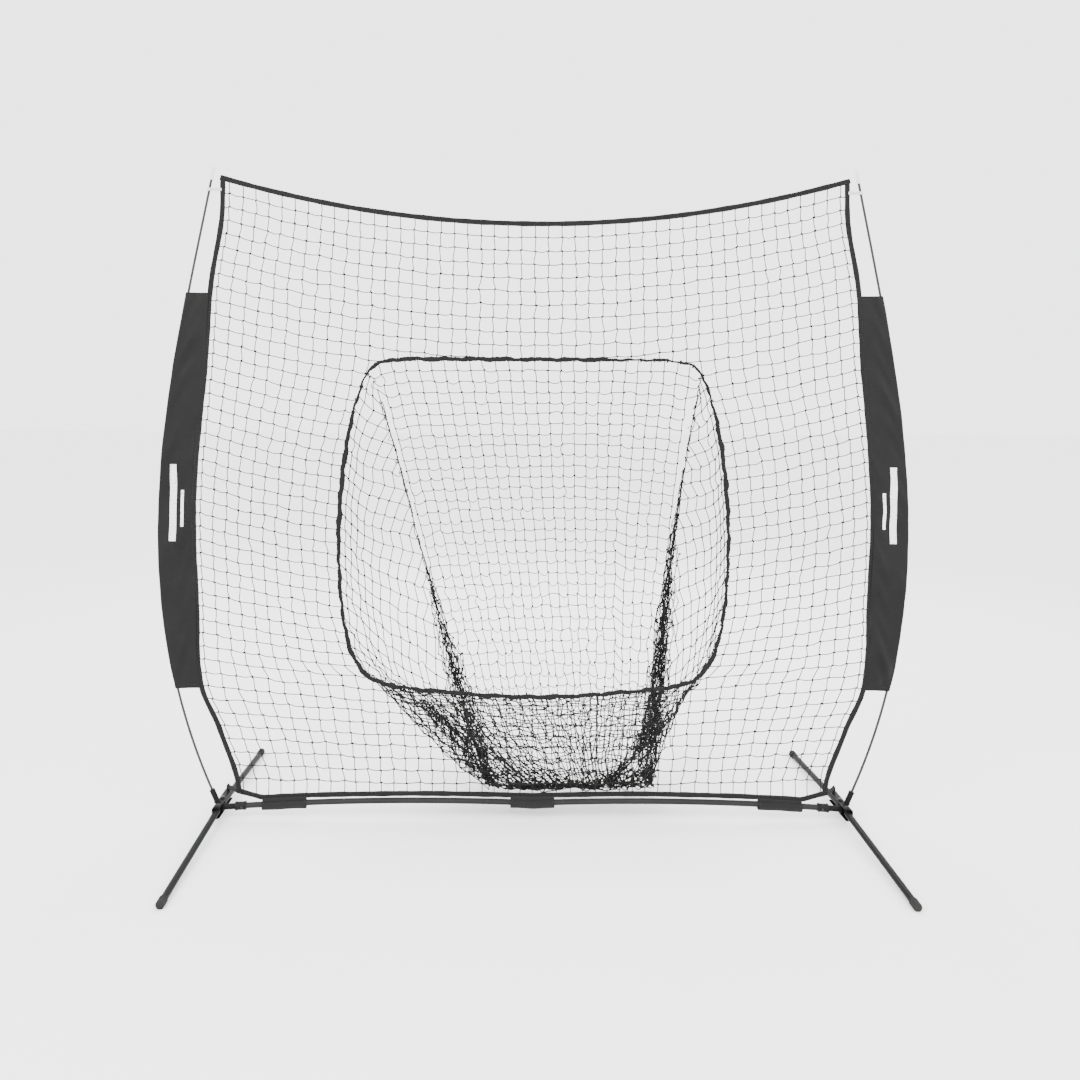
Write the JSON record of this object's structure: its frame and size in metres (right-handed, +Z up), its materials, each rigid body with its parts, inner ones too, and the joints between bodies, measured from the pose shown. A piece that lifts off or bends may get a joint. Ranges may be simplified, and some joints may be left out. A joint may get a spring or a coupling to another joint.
{
  "type": "pitching target net",
  "caption": "Square practice net on two bowed poles, with a rimmed opening and a strike pocket behind it, on a low base with folding legs.",
  "frame": {"origin": "on the ground, midway between the four feet and straight under the middle of the net's plane", "axes": "+X along the base to the right as the thrower sees it, +Y behind the net, +Z up"},
  "size_m": [2.5616, 1.0766, 2.2206],
  "materials": {
    "painted_steel": "satin",
    "grey_tube": "satin",
    "zinc_steel": "satin",
    "rubber": "matte",
    "pale_nylon": "satin",
    "pale_elastic": "matte",
    "fibreglass": "satin",
    "netting": "matte",
    "webbing": "matte",
    "nylon": "satin",
    "tab_fabric": "matte"
  },
  "bodies": {
    "frame": {"hub_bracket_left": "painted_steel", "pole_socket_left": "painted_steel", "pivot_bolt_front_left": "zinc_steel", "lock_nut_front_left": "zinc_steel", "pivot_bolt_rear_left": "zinc_steel", "lock_nut_rear_left": "zinc_steel", "base_tube_left": "grey_tube", "collar_left": "grey_tube", "pole_lower_left": "fibreglass", "pole_middle_left": "fibreglass", "pole_upper_left": "fibreglass", "pole_end_left": "zinc_steel", "ferrule_lower_left": "zinc_steel", "ferrule_upper_left": "zinc_steel", "tip_cap_left": "pale_nylon", "binding_left": "webbing", "sleeve_left": "nylon", "top_loop_left": "pale_elastic", "corner_loop_left": "webbing", "hub_bracket_right": "painted_steel", "pole_socket_right": "painted_steel", "pivot_bolt_front_right": "zinc_steel", "lock_nut_front_right": "zinc_steel", "pivot_bolt_rear_right": "zinc_steel", "lock_nut_rear_right": "zinc_steel", "base_tube_right": "grey_tube", "collar_right": "grey_tube", "pole_lower_right": "fibreglass", "pole_middle_right": "fibreglass", "pole_upper_right": "fibreglass", "pole_end_right": "zinc_steel", "ferrule_lower_right": "zinc_steel", "ferrule_upper_right": "zinc_steel", "tip_cap_right": "pale_nylon", "binding_right": "webbing", "sleeve_right": "nylon", "top_loop_right": "pale_elastic", "corner_loop_right": "webbing", "base_joiner": "zinc_steel", "net_panel": "netting", "pocket_net": "netting", "opening_rope": "webbing", "binding_top": "webbing", "binding_bottom": "webbing", "base_tab_left": "tab_fabric", "base_tab_centre": "tab_fabric", "base_tab_right": "tab_fabric"},
    "leg_front_left": {"leg_front_left": "painted_steel", "foot_cap_front_left": "rubber"},
    "leg_rear_left": {"leg_rear_left": "painted_steel", "foot_cap_rear_left": "rubber"},
    "snap_button_left": {"snap_button_left": "zinc_steel"},
    "leg_front_right": {"leg_front_right": "painted_steel", "foot_cap_front_right": "rubber"},
    "leg_rear_right": {"leg_rear_right": "painted_steel", "foot_cap_rear_right": "rubber"},
    "snap_button_right": {"snap_button_right": "zinc_steel"}
  },
  "joints": [
    {"name": "fold_front_left", "type": "hinge", "parent": "frame", "child": "leg_front_left", "pos_m": [-1.065, -0.03, 0.037], "axis": [0, 0, 1], "range_deg": [0, 90]},
    {"name": "fold_rear_left", "type": "hinge", "parent": "frame", "child": "leg_rear_left", "pos_m": [-1.065, 0.03, 0.037], "axis": [0, 0, -1], "range_deg": [0, 90]},
    {"name": "press_button_left", "type": "slide", "parent": "frame", "child": "snap_button_left", "axis": [0, 1, 0], "range_m": [0, 0.004], "stiffness_N_per_m": 2500},
    {"name": "fold_front_right", "type": "hinge", "parent": "frame", "child": "leg_front_right", "pos_m": [1.065, -0.03, 0.037], "axis": [0, 0, -1], "range_deg": [0, 90]},
    {"name": "fold_rear_right", "type": "hinge", "parent": "frame", "child": "leg_rear_right", "pos_m": [1.065, 0.03, 0.037], "axis": [0, 0, 1], "range_deg": [0, 90]},
    {"name": "press_button_right", "type": "slide", "parent": "frame", "child": "snap_button_right", "axis": [0, 1, 0], "range_m": [0, 0.004], "stiffness_N_per_m": 2500}
  ]
}
